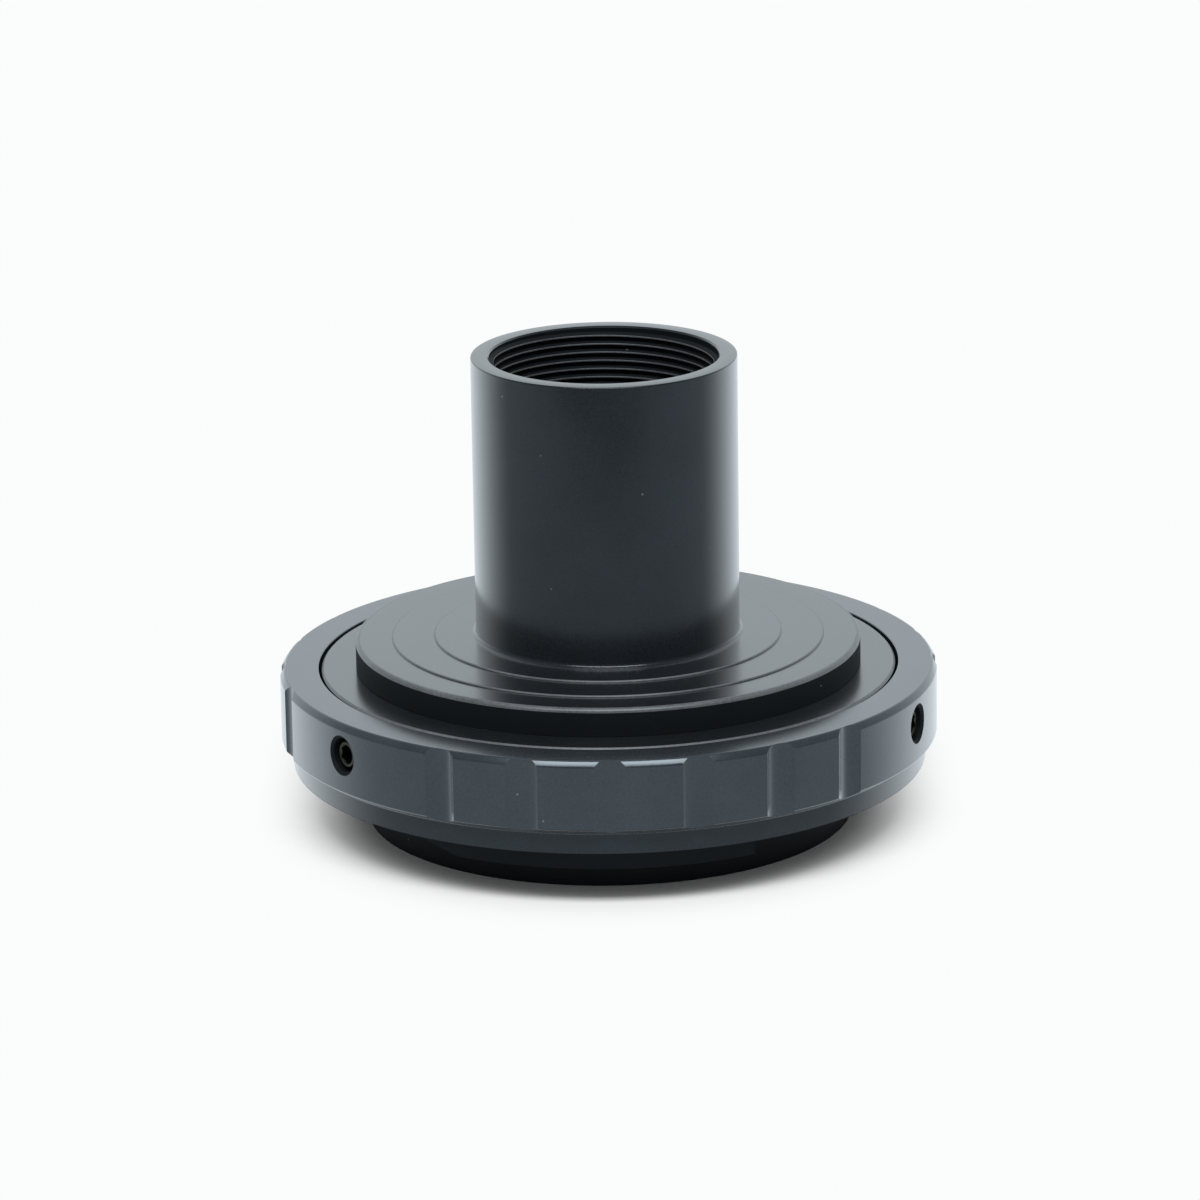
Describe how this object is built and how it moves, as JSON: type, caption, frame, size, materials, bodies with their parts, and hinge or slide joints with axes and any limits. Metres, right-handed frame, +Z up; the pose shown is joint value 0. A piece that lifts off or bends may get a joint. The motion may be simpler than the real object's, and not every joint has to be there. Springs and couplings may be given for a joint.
{
  "type": "microscope camera adapter ring",
  "caption": "Black anodised microscope-to-camera adapter: an eyepiece tube with a stepped flange, screwed into a fluted ring with set screws and a lug bayonet below.",
  "frame": {"origin": "centre of the bayonet's free end, on the optical axis, where the part stands", "axes": "+Z up the optical axis towards the eyepiece tube, -Y to the front of the picture's view, +X to its right"},
  "size_m": [0.058, 0.058, 0.0413],
  "materials": {
    "tube_anodise": "fine-turned, satin black anodised",
    "ring_anodise": "machined, semi-gloss blue-black anodised",
    "screw_steel": "black oxide"
  },
  "bodies": {
    "eyepiece_tube": {"eyepiece_tube": "tube_anodise"},
    "inner_ring": {"inner_ring": "ring_anodise"},
    "bayonet_ring": {"bayonet_ring": "ring_anodise"},
    "set_screw_1": {"set_screw_1": "screw_steel"},
    "set_screw_2": {"set_screw_2": "screw_steel"},
    "set_screw_3": {"set_screw_3": "screw_steel"}
  },
  "joints": [
    {"name": "inner_ring_turn", "type": "hinge", "parent": "bayonet_ring", "child": "inner_ring", "pos_m": [0, 0, 0.0108], "axis": [0, 0, 1], "continuous": true},
    {"name": "eyepiece_tube_unscrew", "type": "slide", "parent": "inner_ring", "child": "eyepiece_tube", "axis": [0, 0, 1], "range_m": [0, 0.006]},
    {"name": "set_screw_1_unscrew", "type": "slide", "parent": "bayonet_ring", "child": "set_screw_1", "axis": [0.9239, -0.3827, 0], "range_m": [0, 0.0015]},
    {"name": "set_screw_2_unscrew", "type": "slide", "parent": "bayonet_ring", "child": "set_screw_2", "axis": [-0.1305, 0.9914, 0], "range_m": [0, 0.0015]},
    {"name": "set_screw_3_unscrew", "type": "slide", "parent": "bayonet_ring", "child": "set_screw_3", "axis": [-0.7934, -0.6088, 0], "range_m": [0, 0.0015]}
  ]
}
